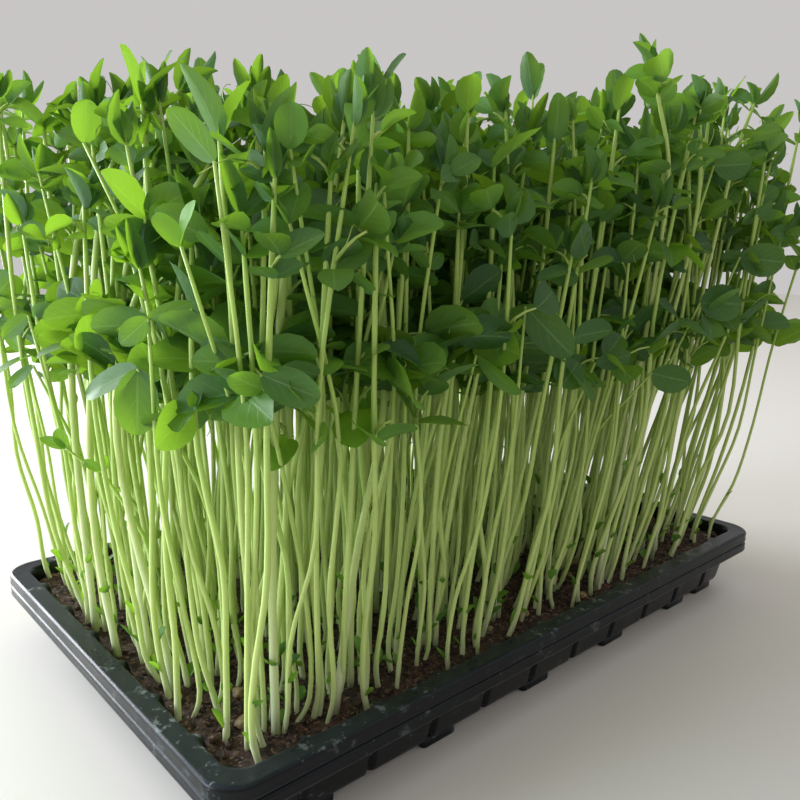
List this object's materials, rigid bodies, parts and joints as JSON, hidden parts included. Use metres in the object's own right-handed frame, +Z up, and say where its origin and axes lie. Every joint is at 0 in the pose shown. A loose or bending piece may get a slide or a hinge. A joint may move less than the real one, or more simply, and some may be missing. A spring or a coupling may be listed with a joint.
{
  "type": "pea shoot microgreens tray",
  "caption": "Pea shoots growing upright in a black growing tray nested in a black drip tray, with moist peat and a dense leafy canopy.",
  "frame": {"origin": "middle of the tray's footprint, on the flat underside of the drip tray's middle foot", "axes": "+X along the tray's long side, +Y along its short side, +Z up from the surface it stands on"},
  "size_m": [0.4274, 0.2741, 0.3178],
  "materials": {
    "black_plastic": "satin, dusty, with dried water marks",
    "moist_peat": "rough, moist, fibrous",
    "pea_shoot": "waxy leaf and pale stem"
  },
  "bodies": {
    "root": {"drip_tray": "black_plastic", "growing_tray": "black_plastic", "growing_medium": "moist_peat", "pea_shoots_r1_c1": "pea_shoot", "pea_shoots_r1_c2": "pea_shoot", "pea_shoots_r1_c3": "pea_shoot", "pea_shoots_r1_c4": "pea_shoot", "pea_shoots_r1_c5": "pea_shoot", "pea_shoots_r1_c6": "pea_shoot", "pea_shoots_r1_c7": "pea_shoot", "pea_shoots_r1_c8": "pea_shoot", "pea_shoots_r2_c1": "pea_shoot", "pea_shoots_r2_c2": "pea_shoot", "pea_shoots_r2_c3": "pea_shoot", "pea_shoots_r2_c4": "pea_shoot", "pea_shoots_r2_c5": "pea_shoot", "pea_shoots_r2_c6": "pea_shoot", "pea_shoots_r2_c7": "pea_shoot", "pea_shoots_r2_c8": "pea_shoot", "pea_shoots_r3_c1": "pea_shoot", "pea_shoots_r3_c2": "pea_shoot", "pea_shoots_r3_c3": "pea_shoot", "pea_shoots_r3_c4": "pea_shoot", "pea_shoots_r3_c5": "pea_shoot", "pea_shoots_r3_c6": "pea_shoot", "pea_shoots_r3_c7": "pea_shoot", "pea_shoots_r3_c8": "pea_shoot", "pea_shoots_r4_c1": "pea_shoot", "pea_shoots_r4_c2": "pea_shoot", "pea_shoots_r4_c3": "pea_shoot", "pea_shoots_r4_c4": "pea_shoot", "pea_shoots_r4_c5": "pea_shoot", "pea_shoots_r4_c6": "pea_shoot", "pea_shoots_r4_c7": "pea_shoot", "pea_shoots_r4_c8": "pea_shoot", "pea_shoots_r5_c1": "pea_shoot", "pea_shoots_r5_c2": "pea_shoot", "pea_shoots_r5_c3": "pea_shoot", "pea_shoots_r5_c4": "pea_shoot", "pea_shoots_r5_c5": "pea_shoot", "pea_shoots_r5_c6": "pea_shoot", "pea_shoots_r5_c7": "pea_shoot", "pea_shoots_r5_c8": "pea_shoot"}
  },
  "joints": []
}
